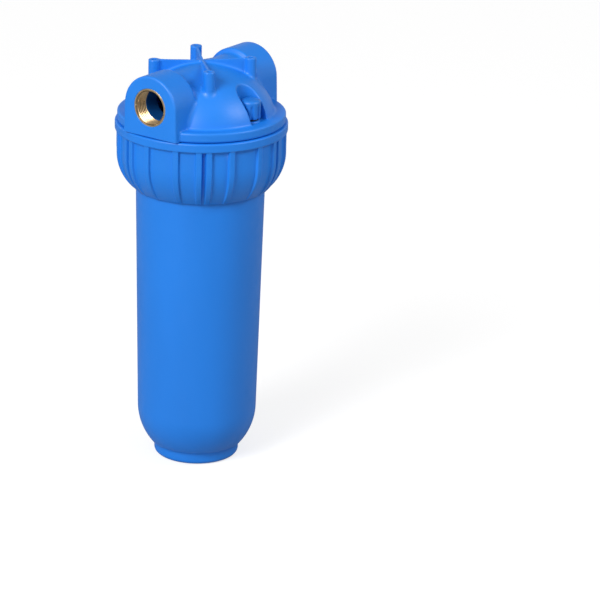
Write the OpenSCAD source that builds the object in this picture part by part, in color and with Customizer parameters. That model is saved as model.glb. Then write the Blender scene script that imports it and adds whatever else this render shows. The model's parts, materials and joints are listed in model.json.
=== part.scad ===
// Cartridge filter housing with a domed head, a ring nut and a drop-in bowl.
// Millimetres. Z is up, X runs through the two ports, the origin is under the middle of the bowl's foot.

/* [Bowl] */
// Radius of the rounded bottom, which is also the body's radius where the draft starts
bowl_r = 46.35; // [46:0.05:46.8]
// Outer radius of the body where it enters the ring nut
neck_r = 49.9; // [49.6:0.1:50]
// Height of the small step below the neck
step_z = 175; // [150:1:200]
// Wall thickness
bowl_wall = 4; // [3.4:0.1:4.4]
// Radius of the foot ring
foot_r = 33; // [31:0.5:34]
// Height of the foot ring
foot_h = 9.5; // [8.5:0.5:10.5]
// Underside of the flange that the ring nut lifts
flange_z = 236; // [235.8:0.1:236.4]
// Thickness of that flange
flange_t = 7; // [6.8:0.1:7]

/* [Ring nut] */
// Height where the nut's side meets its rounded lower edge
nut_z = 220.4; // [220:0.1:221]
// Radius of the top flange
nut_r = 66; // [65.8:0.1:66.4]
// Radius over the ribs
crest_r = 65.4; // [65.2:0.1:65.6]
// How far the ribs stand out of the barrel at the top
rib_h = 2.3; // [1.8:0.1:2.4]
// How far the ribs stand out of the barrel at the bottom
rib_foot_h = 0.5; // [0.4:0.1:0.8]
// Width of one rib
rib_w = 4.8; // [3.6:0.1:5]
// Thickness of the top flange
nut_flange_t = 7; // [5:0.5:7.5]
// Half the angle between the two ribs of a pair
pair_half_angle = 3.4; // [3.2:0.1:4.2]
// Angle from the middle of a pair to the next single rib
single_angle = 19.05; // [18:0.05:21]

/* [Head] */
// Height of the underside of the head's rim
rim_z = 272; // [272:0.1:272.4]
// Radius of the rim
rim_r = 64.2; // [63.6:0.1:64.4]
// Thickness of the rim
rim_t = 7.5; // [7:0.25:8]
// Radius of the dome at the rim's underside
dome_r = 56.8; // [56.4:0.1:57]
// Rise of the dome above the rim's underside
dome_h = 43.9; // [43.6:0.1:44.2]
// Wall thickness of the dome
dome_wall = 4.4; // [4:0.1:4.8]
// Side of the square that the screw posts stand on
post_square = 52; // [50:0.5:53]
// Height of the top of the posts
post_z = 319.7; // [319.5:0.1:321]
// Radius of a post
post_r = 4.4; // [4:0.1:4.6]
// Radius of the blind hole in a post
post_hole_r = 1.7; // [1.4:0.1:2]

/* [Ports] */
// Height of the port axis
port_z = 295; // [294.6:0.1:295.4]
// Distance between the two port faces
port_span = 128.6; // [128.6:0.2:129.6]
// Radius of the arch round a port
arch_r = 24; // [23.6:0.1:24.4]
// Radius of the brass insert at the port's face
insert_r = 14.6; // [14.4:0.1:15]
// Length of the brass insert
insert_l = 11.5; // [11:0.5:13]
// Radius of the threaded wall in the insert, G 3/4 at its minor diameter
thread_minor_r = 12.06; // [12.06:0.01:12.1]

/* [Closure thread] */
// Pitch of the closure thread
pitch = 6; // [6:1:6]
// Radius of the skirt under the head's thread
skirt_r = 57.8; // [57.6:0.1:57.9]
// How far each thread ridge stands out
ridge_h = 1.8; // [1.6:0.1:1.8]

/* [Vent screw] */
// Distance from the housing's axis to the vent screw
vent_y = 46; // [45.5:0.1:46.3]
// Radius of the knob
knob_r = 7.7; // [7:0.1:8]
// Height of the knob
knob_h = 14.2; // [12:0.1:15]
// Radius of the vent screw's shank
shank_r = 3.95; // [3.9:0.01:3.97]

/* [Cartridge] */
// Outer radius of the cartridge
cart_r = 34; // [33:0.25:34.5]
// Inner radius of the cartridge's core
core_r = 14; // [13.8:0.1:14.4]
// Length over the two gaskets
cart_l = 250.4; // [250:0.1:250.6]
// Number of pleats
pleats = 42; // [36:1:48]

/* [Hidden] */
$fn = 96;
blue = [0.10, 0.42, 0.86];
brass = [0.83, 0.62, 0.30];
black = [0.05, 0.05, 0.06];
white = [0.93, 0.93, 0.90];

gap = 0.3;              // free space between pieces that move past each other
bite = 0.6;             // how deep a joined feature reaches into what carries it
arc_n = 14;             // segments in a quarter arc of an outline
edge = 1.5;             // radius of the rounded edges on the rim, the nut and the flange
edge_n = 5;             // segments in the quarter arc of such an edge
over = 1;               // how far a cut runs past the face that it opens

// Bowl
ball_z = bowl_r - 6.15;                 // centre of the rounded bottom
foot_round = 3.5;                       // radius of the foot ring's edge
floor_z = 5;                            // inside floor
seat_z = 19;                            // where the cartridge's lower gasket rests
seat_r = 20;
spigot_r = core_r - 0.8;                // centring spigots at both ends of the cartridge
spigot_l = 8;
spigot_wall = 2.6;
fin_t = 3;                              // fins that hold the seat in the middle of the bowl
fin_foot_r = 26;
fin_top_r = 36.4;
fin_edge_z = 17;
flange_r = skirt_r;
flange_top = flange_z + flange_t;
mouth_r = neck_r - bowl_wall;
inner_ball_r = bowl_r - bowl_wall;
ball_cut = asin((ball_z - foot_h) / bowl_r);
inner_cut = asin((ball_z - floor_z) / inner_ball_r);
step_h = 0.3;                           // how much the radius grows at the step below the neck
step_r = bowl_r + tan(1) * (step_z - ball_z);
seal_r = 52.6;                          // middle radius of the bowl's O-ring
groove_w = 4.4;
groove_d = 3;
seal_side_gap = 0.2;                    // free space at each side of the squeezed O-ring
seal_squeeze_h = groove_d + 0.2;
seal_corner = 1.4;

// Closure thread
nut_ridge_z = 250;                      // where the nut's ridge starts
nut_ridge_turns = 3;
head_ridge_z = nut_ridge_z - pitch / 2;
head_ridge_turns = 3.5;
ridge_root = 2.8;                       // width of a ridge where it leaves its wall
ridge_crest = 1.7;                      // width of a ridge at its crest
turn_n = 48;                            // segments in one turn of a ridge

// Ring nut
nut_top = rim_z - 0.4;
nut_flange_z = nut_top - nut_flange_t;
nut_edge = 0.8;                         // radius of the rounded lower edge
bulge_z = 249;                          // where the curve in the side meets the upright part
crest_low_r = crest_r - 12.6;           // radii of the ribs and of the barrel at the foot of that curve
barrel_r = crest_r - rib_h;
barrel_low_r = crest_low_r - rib_foot_h;
nut_bore_r = neck_r + 0.5;
nut_step_z = flange_z - gap;
nut_step_r = flange_r + 0.5;
nut_wall_r = skirt_r + ridge_h + bite;
nut_mouth = 0.8;                        // flare at the top of the threaded wall
rib_root = 1.5;                         // how deep a rib reaches into the barrel
first_pair = -140.8;                    // direction of the first pair of ribs
pair_step = 60;

// Head
skirt_z = flange_top + gap;
skirt_in_r = 50.5;
rim_top = rim_z + rim_t;
dome_base = rim_z - 0.6;                // height of the dome's centre
dome_side_wall = dome_wall + 1.5;
tunnel_r = 20.4;
tunnel_bore_r = 16.4;
block_in = 38.5;                        // inner end of the port blocks
block_foot = arch_r + 0.8;              // half width of a port block at its foot
port_half = port_span / 2;
port_bore_r = 11.7;
inlet_l = 24;                           // depth of the inlet's bore, which opens into the tunnel there
outlet_wall = 3.6;                      // wall of the tube between the column and the outlet port
column_r = 19;
column_bore_r = 13;
column_z = seat_z + cart_l + gap;       // the column's foot seals on the cartridge's upper gasket
column_bore_top = port_z + 10.6;
post_bottom = rim_z + 28;
post_hole_depth = 14;
web_t = 2;                              // ribs that cross between the posts
web_dip = 1.3;                          // how much lower they are where they cross
hub_r = 2.2;
pocket_r = 10;                          // half width of the pocket for the vent screw
pocket_y = 1 - vent_y;                  // centre of its rounded end
pocket_wall = 3.5;
boss_z = 268;
vent_seat_r = 7.2;
vent_seat_z = rim_top + 1;
vent_hole_r = shank_r + 0.05;           // running fit round the vent screw

// Port inserts
insert_back_r = insert_r + 0.4;         // the wider back end keeps the insert in the plastic
insert_chamfer = 1.3;

// Vent screw
vent_ring_r = 5.4;
vent_ring_t = 0.8;
vent_ring_gap = 0.1;
knob_z = vent_seat_z + 2 * vent_ring_t;
knob_chamfer = 2.2;
flutes = 8;
flute_r = 1.6;
flute_depth = 1;
flute_share = 0.72;                     // share of the knob's height that the flutes take
slot_w = 1.2;                           // bleed slot, which stops short of the seal
slot_depth = 2;
slot_h = 7;

// Cartridge
gasket_t = 3;
gasket_r = 25;
cap_t = 3;
cap_rim_h = 9;
cap_rim_t = 1.2;
sleeve_t = 1;
sleeve_r = cart_r - cap_rim_t - 0.2;
sleeve_rows = 8;
sleeve_window_w = 16;
sleeve_bar = 4;                         // height of the bars between the sleeve's windows
core_t = 1.6;
core_rows = 12;
core_window_w = 5;
core_window_h = 10;
pleat_t = 0.7;
fold_in = core_r + core_t + 0.3;
fold_out = sleeve_r - sleeve_t - 0.6;
cart_z0 = seat_z;
cart_z1 = seat_z + cart_l;
media_z0 = cart_z0 + gasket_t + cap_t;
media_z1 = cart_z1 - gasket_t - cap_t;

// Points of an arc about a centre, from angle a0 to angle a1
function arc(cx, cy, r, a0, a1, n = arc_n) =
    [for (i = [0:n]) let (a = a0 + (a1 - a0) * i / n) [cx + r * cos(a), cy + r * sin(a)]];

// Points of a quarter ellipse on the axis, from radius r at height z0 up to the axis at z0 + h
function quarter(r, h, z0, from = 0) =
    [for (i = [0:2 * arc_n]) let (a = from + (90 - from) * i / (2 * arc_n)) [r * cos(a), z0 + h * sin(a)]];

// A ring of rectangular section
module ring(r_in, r_out, z0, z1) {
    rotate_extrude() translate([r_in, z0]) square([r_out - r_in, z1 - z0]);
}

// A right-handed helical ridge. It leaves a wall of radius root_r and ends at radius crest_r.
module ridge(root_r, crest_r, z0, turns) {
    n = ceil(turns * turn_n);
    section = [[root_r, -ridge_root / 2], [crest_r, -ridge_crest / 2],
               [crest_r, ridge_crest / 2], [root_r, ridge_root / 2]];
    points = [for (i = [0:n], p = section) let (a = 360 * turns * i / n)
        [p[0] * cos(a), p[0] * sin(a), z0 + p[1] + pitch * turns * i / n]];
    outward = crest_r > root_r;
    sides = [for (i = [0:n - 1], j = [0:3]) let (a = 4 * i + j, b = 4 * i + (j + 1) % 4)
        outward ? [a, b, b + 4, a + 4] : [a, a + 4, b + 4, b]];
    ends = outward ? [[3, 2, 1, 0], [4 * n, 4 * n + 1, 4 * n + 2, 4 * n + 3]]
                   : [[0, 1, 2, 3], [4 * n + 3, 4 * n + 2, 4 * n + 1, 4 * n]];
    polyhedron(points, concat(sides, ends), convexity = 10);
}

// ---------------------------------------------------------------- bowl

module bowl_body() {
    outer = concat([[0, 0]], arc(foot_r - foot_round, foot_round, foot_round, -90, 0),
                   arc(0, ball_z, bowl_r, -ball_cut, 0),
                   [[step_r, step_z], [step_r + step_h, step_z + step_h], [neck_r, flange_z],
                    [flange_r, flange_z], [flange_r, flange_top]]);
    inner = concat([[mouth_r, flange_top]], arc(0, ball_z, inner_ball_r, 0, -inner_cut), [[0, floor_z]]);
    rotate_extrude() polygon(concat(outer, inner));
}

module bowl_seat() {
    // The column under the lower gasket and the spigot that centres the core
    ring(spigot_r - spigot_wall, seat_r, floor_z - over, seat_z);
    ring(spigot_r - spigot_wall, spigot_r, seat_z - over, seat_z + spigot_l);
    for (a = [45:90:315]) rotate(a) rotate([90, 0, 0])
        translate([0, 0, -fin_t / 2]) linear_extrude(fin_t)
            polygon([[seat_r - over, floor_z - 2 * over], [fin_foot_r, floor_z - 2 * over],
                     [fin_top_r, fin_edge_z], [fin_top_r, seat_z - gap], [seat_r - over, seat_z - gap]]);
}

module bowl() {
    color(blue) difference() {
        union() {
            bowl_body();
            bowl_seat();
        }
        ring(seal_r - groove_w / 2, seal_r + groove_w / 2, flange_top - groove_d, flange_top + over);
    }
}

// Drawn as it sits when the joint is closed: squeezed to the groove, just short of the head's skirt
module bowl_o_ring() {
    z0 = flange_top - groove_d + seal_corner;
    z1 = z0 + seal_squeeze_h - 2 * seal_corner;
    half = groove_w / 2 - seal_side_gap - seal_corner;
    color(black) rotate_extrude() polygon(concat(
        arc(seal_r + half, z0, seal_corner, -90, 0, edge_n),
        arc(seal_r + half, z1, seal_corner, 0, 90, edge_n),
        arc(seal_r - half, z1, seal_corner, 90, 180, edge_n),
        arc(seal_r - half, z0, seal_corner, 180, 270, edge_n)));
}

// ---------------------------------------------------------------- ring nut

// Radius of an arc that is upright at top_r, at the height bulge_z, and passes low_r at the height nut_z
function side_r(top_r, low_r) =
    (pow(bulge_z - nut_z, 2) + pow(top_r - low_r, 2)) / (2 * (top_r - low_r));

// Angle of that arc's foot below the horizontal
function side_angle(top_r, low_r) = asin((bulge_z - nut_z) / side_r(top_r, low_r));

// Outline of the nut's side, from its foot upwards
function side(top_r, low_r) =
    arc(top_r - side_r(top_r, low_r), bulge_z, side_r(top_r, low_r), -side_angle(top_r, low_r), 0);

module nut_barrel() {
    foot_a = side_angle(barrel_r, barrel_low_r);
    foot_c = [barrel_low_r - nut_edge * cos(foot_a), nut_z + nut_edge * sin(foot_a)];
    outer = concat(arc(foot_c[0], foot_c[1], nut_edge, -90, -foot_a, edge_n), side(barrel_r, barrel_low_r),
                   [[barrel_r, nut_flange_z]],
                   arc(nut_r - edge, nut_flange_z + edge, edge, -90, 0, edge_n),
                   arc(nut_r - edge, nut_top - edge, edge, 0, 90, edge_n));
    bore = [[nut_wall_r + nut_mouth, nut_top], [nut_wall_r, nut_top - 2 * nut_mouth],
            [nut_wall_r, nut_ridge_z - 4], [nut_step_r, nut_ridge_z - 6], [nut_step_r, nut_step_z],
            [nut_bore_r, nut_step_z], [nut_bore_r, foot_c[1] - nut_edge]];
    rotate_extrude() polygon(concat(outer, bore));
}

module nut_rib(angle) {
    top = nut_flange_z + edge;
    root = side(barrel_r - rib_root, barrel_low_r - rib_root);
    intersection() {
        rotate_extrude() polygon(concat(side(crest_r, crest_low_r),
                                        [[crest_r, top], [barrel_r - rib_root, top]],
                                        [for (i = [len(root) - 1:-1:0]) root[i]]));
        rotate(angle) translate([0, -rib_w / 2, nut_z - over])
            cube([nut_r + over, rib_w, nut_top - nut_z]);
    }
}

module ring_nut() {
    color(blue) union() {
        nut_barrel();
        for (a = [first_pair:pair_step:first_pair + 359],
             off = [-pair_half_angle, pair_half_angle, -single_angle, single_angle])
            nut_rib(a + off);
        ridge(nut_wall_r + bite, nut_wall_r - ridge_h, nut_ridge_z, nut_ridge_turns);
    }
}

// ---------------------------------------------------------------- head

module head_shell() {
    base_angle = asin((rim_top - dome_base) / dome_h);
    rotate_extrude() polygon(concat(
        [[0, skirt_z], [skirt_r - over, skirt_z], [skirt_r, skirt_z + over], [skirt_r, rim_z]],
        arc(rim_r - edge, rim_z + edge, edge, -90, 0, edge_n),
        arc(rim_r - edge, rim_top - edge, edge, 0, 90, edge_n),
        quarter(dome_r, dome_h, dome_base, base_angle)));
}

// A cylinder along the port axis, from x0 to x1
module along_ports(r, x0, x1) {
    translate([x0, 0, port_z]) rotate([0, 90, 0]) cylinder(r = r, h = x1 - x0);
}

module port_side(side) {
    mirror([side < 0 ? 1 : 0, 0, 0]) children();
}

// The water space under the dome
module head_chamber() {
    rotate_extrude() polygon(concat(
        [[0, skirt_z - over], [skirt_in_r, skirt_z - over], [skirt_in_r, dome_base]],
        quarter(dome_r - dome_side_wall, dome_h - dome_wall, dome_base)));
    along_ports(tunnel_bore_r, -block_in, block_in);
}

// A port block: an arch over straight sides, from the rim's underside up
module port_block() {
    translate([block_in, 0, 0]) rotate([90, 0, 90]) linear_extrude(port_half - block_in)
        polygon(concat([[-block_foot, rim_z], [block_foot, rim_z]],
                       arc(0, port_z, arch_r, 0, 180, 2 * arc_n)));
}

module post_places() {
    for (x = [-1, 1], y = [-1, 1]) translate([x * post_square / 2, y * post_square / 2, 0]) children();
}

module posts_and_web() {
    reach = post_square / sqrt(2);
    post_places() translate([0, 0, post_bottom]) cylinder(r = post_r, h = post_z - post_bottom);
    for (a = [45, 135]) rotate(a) rotate([90, 0, 0]) translate([0, 0, -web_t / 2]) linear_extrude(web_t)
        polygon([[-reach, post_bottom], [reach, post_bottom], [reach, post_z], [0, post_z - web_dip],
                 [-reach, post_z]]);
    translate([0, 0, post_bottom]) cylinder(r = hub_r, h = post_z - web_dip - post_bottom);
}

// Plan of the vent pocket, grown by a margin: a half circle with a straight mouth
module pocket_plan(margin) {
    r = pocket_r + margin;
    mouth_y = -rim_r - 6;
    polygon(concat(arc(0, pocket_y, r, 0, 180, 2 * arc_n), [[-r, mouth_y], [r, mouth_y]]));
}

module vent_boss() {
    intersection() {
        rotate_extrude() polygon(concat([[0, boss_z], [skirt_r - 2, boss_z], [skirt_r - 2, dome_base]],
                                        quarter(dome_r - bite, dome_h - bite, dome_base)));
        translate([0, 0, boss_z]) linear_extrude(dome_h) pocket_plan(pocket_wall);
    }
}

// The outlet column, its spigot and the tube that joins it to the outlet port
module outlet_column() {
    translate([0, 0, column_z])
        cylinder(r = column_r, h = dome_base + dome_h - dome_wall - column_z + over);
    translate([0, 0, column_z - spigot_l]) cylinder(r = spigot_r, h = spigot_l + over);
    along_ports(port_bore_r + outlet_wall, 0, block_in + over);
}

module outlet_bores() {
    along_ports(port_bore_r, 0, port_half);
    translate([0, 0, column_z + spigot_wall])
        cylinder(r = column_bore_r, h = column_bore_top - column_z - spigot_wall);
    translate([0, 0, column_z - spigot_l - over])
        cylinder(r = spigot_r - spigot_wall, h = spigot_l + spigot_wall + 2 * over);
}

// The bore behind the inlet's insert, which opens into the wider tunnel
module inlet_bores() {
    along_ports(port_bore_r, -port_half, -block_in + over);
    along_ports(tunnel_bore_r, inlet_l - port_half, -block_in + over);
}

// The pocket round the knob, its raised seat and the screw's hole
module vent_cuts() {
    difference() {
        translate([0, 0, rim_top]) linear_extrude(dome_h) pocket_plan(0);
        translate([0, -vent_y, rim_top - over]) cylinder(r = vent_seat_r, h = vent_seat_z - rim_top + over);
    }
    translate([0, -vent_y, boss_z - over]) cylinder(r = vent_hole_r, h = vent_seat_z - boss_z + 2 * over);
}

module head() {
    color(blue) difference() {
        union() {
            difference() {
                union() {
                    head_shell();
                    along_ports(tunnel_r, -block_in - over, block_in + over);
                    posts_and_web();
                }
                head_chamber();
            }
            for (side = [-1, 1]) port_side(side) port_block();
            vent_boss();
            outlet_column();
            ridge(skirt_r - bite, skirt_r + ridge_h, head_ridge_z, head_ridge_turns);
        }
        for (side = [-1, 1]) port_side(side) insert_body(over);
        inlet_bores();
        outlet_bores();
        vent_cuts();
        post_places() translate([0, 0, post_z - post_hole_depth])
            cylinder(r = post_hole_r, h = post_hole_depth + over);
    }
}

// ---------------------------------------------------------------- port inserts

// The outside of an insert as a solid body, with a stretch past the port's face where it is a cut
module insert_body(past) {
    translate([port_half - insert_l, 0, port_z]) rotate([0, 90, 0])
        rotate_extrude() polygon([[0, 0], [insert_back_r, 0], [insert_r, insert_l],
                                  [insert_r, insert_l + past], [0, insert_l + past]]);
}

module insert() {
    color(brass) difference() {
        insert_body(0);
        along_ports(thread_minor_r, port_half - insert_l - over, port_half + over);
        translate([port_half, 0, port_z]) rotate([0, 90, 0])
            rotate_extrude() polygon([[0, -insert_chamfer], [thread_minor_r, -insert_chamfer],
                                      [thread_minor_r + insert_chamfer + over, over], [0, over]]);
    }
}

module inlet_insert() { port_side(-1) insert(); }
module outlet_insert() { insert(); }

// ---------------------------------------------------------------- vent screw

module vent_screw() {
    color(blue) translate([0, -vent_y, 0]) difference() {
        union() {
            rotate_extrude() polygon([[0, knob_z], [knob_r, knob_z], [knob_r, knob_z + knob_h - knob_chamfer],
                [knob_r - knob_chamfer, knob_z + knob_h], [0, knob_z + knob_h]]);
            translate([0, 0, boss_z]) cylinder(r = shank_r, h = knob_z - boss_z + over);
        }
        for (i = [0:flutes - 1]) rotate(360 * i / flutes)
            translate([knob_r + flute_r - flute_depth, 0, knob_z - over])
                cylinder(r = flute_r, h = knob_h * flute_share);
        translate([-slot_w / 2, -shank_r - over, boss_z - over])
            cube([slot_w, slot_depth + over, slot_h + over]);
    }
}

module vent_o_ring() {
    color(black) translate([0, -vent_y, 0]) rotate_extrude()
        translate([vent_ring_r, vent_seat_z + vent_ring_t]) circle(r = vent_ring_t - vent_ring_gap, $fn = 24);
}

// ---------------------------------------------------------------- cartridge

// A closed zigzag line of pleats between two radii
function pleat_line(r_in, r_out) =
    [for (i = [0:2 * pleats - 1]) let (a = 180 * i / pleats, r = i % 2 ? r_in : r_out)
        [r * cos(a), r * sin(a)]];

module cartridge_media() {
    color(white) translate([0, 0, media_z0]) linear_extrude(media_z1 - media_z0) difference() {
        polygon(pleat_line(fold_in + pleat_t, fold_out));
        polygon(pleat_line(fold_in, fold_out - 3 * pleat_t));
    }
}

module cartridge_core() {
    step = (media_z1 - media_z0) / core_rows;
    color(white) difference() {
        ring(core_r, core_r + core_t, media_z0, media_z1);
        for (i = [0:core_rows - 1], a = [0, 60, 120]) rotate(a + 30 * (i % 2))
            translate([-core_r - 2 * core_t, -core_window_w / 2,
                       media_z0 + (i + 0.5) * step - core_window_h / 2])
                cube([2 * core_r + 4 * core_t, core_window_w, core_window_h]);
    }
}

module cartridge_sleeve() {
    step = (media_z1 - media_z0) / sleeve_rows;
    color(white) difference() {
        ring(sleeve_r - sleeve_t, sleeve_r, media_z0, media_z1);
        for (i = [0:sleeve_rows - 1], a = [0:36:144]) rotate(a)
            translate([-sleeve_r - over, -sleeve_window_w / 2, media_z0 + i * step + sleeve_bar / 2])
                cube([2 * (sleeve_r + over), sleeve_window_w, step - sleeve_bar]);
    }
}

module end_cap() {
    color(white) {
        ring(core_r, cart_r, 0, cap_t);
        ring(cart_r - cap_rim_t, cart_r, cap_t - bite, cap_rim_h);
    }
}

module cartridge_bottom_cap() { translate([0, 0, cart_z0 + gasket_t]) end_cap(); }
module cartridge_top_cap() { translate([0, 0, cart_z1 - gasket_t]) mirror([0, 0, 1]) end_cap(); }

module gasket(z) {
    color(black) ring(core_r, gasket_r, z, z + gasket_t);
}

module cartridge_top_gasket() { gasket(cart_z1 - gasket_t); }
module cartridge_bottom_gasket() { gasket(cart_z0); }

head();
inlet_insert();
outlet_insert();
ring_nut();
bowl();
bowl_o_ring();
vent_screw();
vent_o_ring();
cartridge_media();
cartridge_core();
cartridge_sleeve();
cartridge_top_cap();
cartridge_bottom_cap();
cartridge_top_gasket();
cartridge_bottom_gasket();
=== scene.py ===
"""Looks of the cartridge filter housing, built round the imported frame.

Shapes are worked out in millimetres and turned into metres when a mesh is made.
"""
import json
import math

import bmesh
import bpy
import numpy as np
from mathutils import Matrix, Vector


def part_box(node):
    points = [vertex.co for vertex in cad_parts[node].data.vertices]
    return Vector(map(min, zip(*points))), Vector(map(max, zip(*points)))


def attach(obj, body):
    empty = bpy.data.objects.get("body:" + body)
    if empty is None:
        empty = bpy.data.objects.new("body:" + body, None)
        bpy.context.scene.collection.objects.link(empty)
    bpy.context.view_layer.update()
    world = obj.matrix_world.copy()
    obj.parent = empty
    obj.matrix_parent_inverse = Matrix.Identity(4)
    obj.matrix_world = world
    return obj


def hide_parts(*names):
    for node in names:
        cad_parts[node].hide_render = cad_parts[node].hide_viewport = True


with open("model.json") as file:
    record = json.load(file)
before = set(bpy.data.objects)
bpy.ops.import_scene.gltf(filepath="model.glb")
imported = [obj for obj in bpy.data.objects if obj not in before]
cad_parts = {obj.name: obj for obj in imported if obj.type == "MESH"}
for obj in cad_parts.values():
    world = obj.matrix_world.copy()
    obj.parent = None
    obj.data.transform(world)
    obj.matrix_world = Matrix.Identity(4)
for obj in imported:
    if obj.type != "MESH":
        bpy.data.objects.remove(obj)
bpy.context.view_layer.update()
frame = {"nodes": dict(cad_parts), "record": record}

MM = 0.001
TURN = 2 * math.pi
SEGMENTS = 192              # round a large piece

# ------------------------------------------------------------------ sizes from the frame


def box_mm(node):
    """Lowest and highest corner of a CAD node, in millimetres."""
    low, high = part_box(node)
    return np.array(low) / MM, np.array(high) / MM


def mount(name):
    return next(m for m in frame["record"]["mounts"] if m["name"] == name)


HEAD_LOW, HEAD_HIGH = box_mm("head")
NUT_HIGH = box_mm("ring_nut")[1]
BOWL_HIGH = box_mm("bowl")[1]
INSERT_LOW, INSERT_HIGH = box_mm("outlet_insert")
SCREW_LOW, SCREW_HIGH = box_mm("vent_screw")
VENT_RING_LOW, VENT_RING_HIGH = box_mm("vent_o_ring")
BOWL_RING_LOW, BOWL_RING_HIGH = box_mm("bowl_o_ring")
MEDIA_LOW, MEDIA_HIGH = box_mm("cartridge_media")

# Closure
NUT_TOP = NUT_HIGH[2]
NUT_R = NUT_HIGH[0]
RIM_Z = NUT_TOP + 0.4
RIM_T = 7.5
RIM_R = HEAD_HIGH[1]
RIM_EDGE = 1.5
SKIRT_Z = HEAD_LOW[2]
SKIRT_R = 57.8
SKIRT_IN_R = 50.5
PITCH = 6.0
RIDGE_H = 1.8
RIDGE_ROOT = 2.8
RIDGE_CREST = 1.7
HEAD_RIDGE_Z, HEAD_RIDGE_TURNS = 247, 3.5
NUT_RIDGE_Z, NUT_RIDGE_TURNS = 250, 3
FLANGE_Z = 236              # underside of the bowl's flange

# Head
POCKET_FLOOR = RIM_Z + RIM_T
DOME_Z = RIM_Z - 0.6
DOME_R = 56.8
DOME_H = 43.9
DOME_WALL = 4.4
PORT_FACE = HEAD_HIGH[0]
PORT_Z = (INSERT_LOW[2] + INSERT_HIGH[2]) / 2
TUNNEL_R = 20.4
TUNNEL_WALL = 4
ARCH_R = 24.0
ARCH_SPREAD = 0.8
BLOCK_IN = 38.5
POST_TOP = HEAD_HIGH[2]
POST_AT = mount("bracket_screws")["dims"]["spacing_x_mm"] / 2
POST_R = 4.4
POST_HOLE_R = mount("bracket_screws")["dims"]["hole_r_mm"]
POST_HOLE_DEPTH = 14.0
WEB_T = 2.0
WEB_DIP = 1.3
HUB_R = 2.2
VENT_Y = (SCREW_LOW[1] + SCREW_HIGH[1]) / 2
POCKET_R = 10.0
POCKET_Y = VENT_Y + 1
VENT_SEAT_R = 7.2
VENT_SEAT_Z = POCKET_FLOOR + 1
VENT_HOLE_R = 4.0
VENT_BOSS_WALL = 3.5

# Ports
THREAD_MINOR_R = mount("inlet")["dims"]["r_mm"]
THREAD_DEPTH = 1.16         # G 3/4
THREAD_MAJOR_R = THREAD_MINOR_R + THREAD_DEPTH
THREAD_PITCH = 1.814
INSERT_R = 14.6
INSERT_BACK_R = INSERT_HIGH[1]
INSERT_L = INSERT_HIGH[0] - INSERT_LOW[0]
PORT_BORE_R = 11.7
PORT_TUBE_WALL = 3.6
INLET_L = 24.0              # from the port's face to where the inlet opens under the dome
COLUMN_Z = 269.7
COLUMN_R = 19.0
COLUMN_BORE_R = 13.0
COLUMN_BORE_TOP = PORT_Z + 10.6
SPIGOT_R = 13.2
SPIGOT_L = 8.0
SPIGOT_WALL = 2.6

# ------------------------------------------------------------------ materials

BLUE = (0.008, 0.200, 0.745)
KNOB_SHADE = 0.85           # the knob is a little darker than the rest
BORE_PAINTED_SHADE = 0.38           # painted shade: the deep bores' colour is darkened to this share of the skin's
OFF_WHITE = (0.80, 0.81, 0.79)
BRASS, BRASS_TARNISHED = (0.80, 0.57, 0.31), (0.40, 0.25, 0.11)
# The dark root colour is painted shade in the thread roots; the pale edge colour is partly rubbed brass and
# partly a painted highlight.
BRASS_ROOT_SHADE, BRASS_EDGE_WEAR_AND_HIGHLIGHT = (0.16, 0.08, 0.03), (0.92, 0.76, 0.50)
RUBBER, RUBBER_BLOOM = (0.012, 0.012, 0.013), (0.05, 0.05, 0.052)
FIBRE_SHADED, FIBRE_LIT = (0.80, 0.79, 0.73), (0.90, 0.89, 0.85)


def new_material(name):
    material = bpy.data.materials.new(name)
    material.use_nodes = True
    tree = material.node_tree
    return material, tree, tree.nodes["Principled BSDF"]


def add(tree, kind, inputs=None, **settings):
    """A new node with its settings, and with values or links for its inputs."""
    node = tree.nodes.new(kind)
    for key, value in settings.items():
        setattr(node, key, value)
    for key, value in (inputs or {}).items():
        if isinstance(value, bpy.types.NodeSocket):
            tree.links.new(value, node.inputs[key])
        else:
            node.inputs[key].default_value = value
    return node


def noise(tree, scale, detail=3.0, rough=0.55, stretch=(1, 1, 1)):
    """Noise over the object's own coordinates. The scale is in cells per metre."""
    coord = add(tree, "ShaderNodeTexCoord")
    place = add(tree, "ShaderNodeMapping", {"Vector": coord.outputs["Object"], "Scale": stretch})
    return add(tree, "ShaderNodeTexNoise", {"Vector": place.outputs["Vector"], "Scale": scale,
                                            "Detail": detail, "Roughness": rough}).outputs["Fac"]


def spread(tree, value, low, high, from_low=0.0, from_high=1.0):
    """Maps a value from one range to another, held at its ends."""
    return add(tree, "ShaderNodeMapRange", {"Value": value, "From Min": from_low, "From Max": from_high,
                                            "To Min": low, "To Max": high}).outputs["Result"]


def combined(tree, operation, first, second):
    """Two values put together by one sum, such as ADD or MULTIPLY."""
    return add(tree, "ShaderNodeMath", {0: first, 1: second}, operation=operation).outputs[0]


def blend(tree, amount, first, second):
    """A mix of two colours."""
    mix = add(tree, "ShaderNodeMix", data_type="RGBA")
    tree.links.new(amount, mix.inputs["Factor"])
    for socket, colour in ((mix.inputs["A"], first), (mix.inputs["B"], second)):
        if isinstance(colour, bpy.types.NodeSocket):
            tree.links.new(colour, socket)
        else:
            socket.default_value = (*colour, 1)
    return mix.outputs["Result"]


def edges(tree, low, high):
    """Rises from 0 to 1 over convex edges."""
    geometry = add(tree, "ShaderNodeNewGeometry")
    return spread(tree, geometry.outputs["Pointiness"], 0.0, 1.0, low, high)


def bump(tree, shader, height, distance, strength=1.0):
    node = add(tree, "ShaderNodeBump", {"Height": height, "Distance": distance, "Strength": strength})
    tree.links.new(node.outputs["Normal"], shader.inputs["Normal"])


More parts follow.
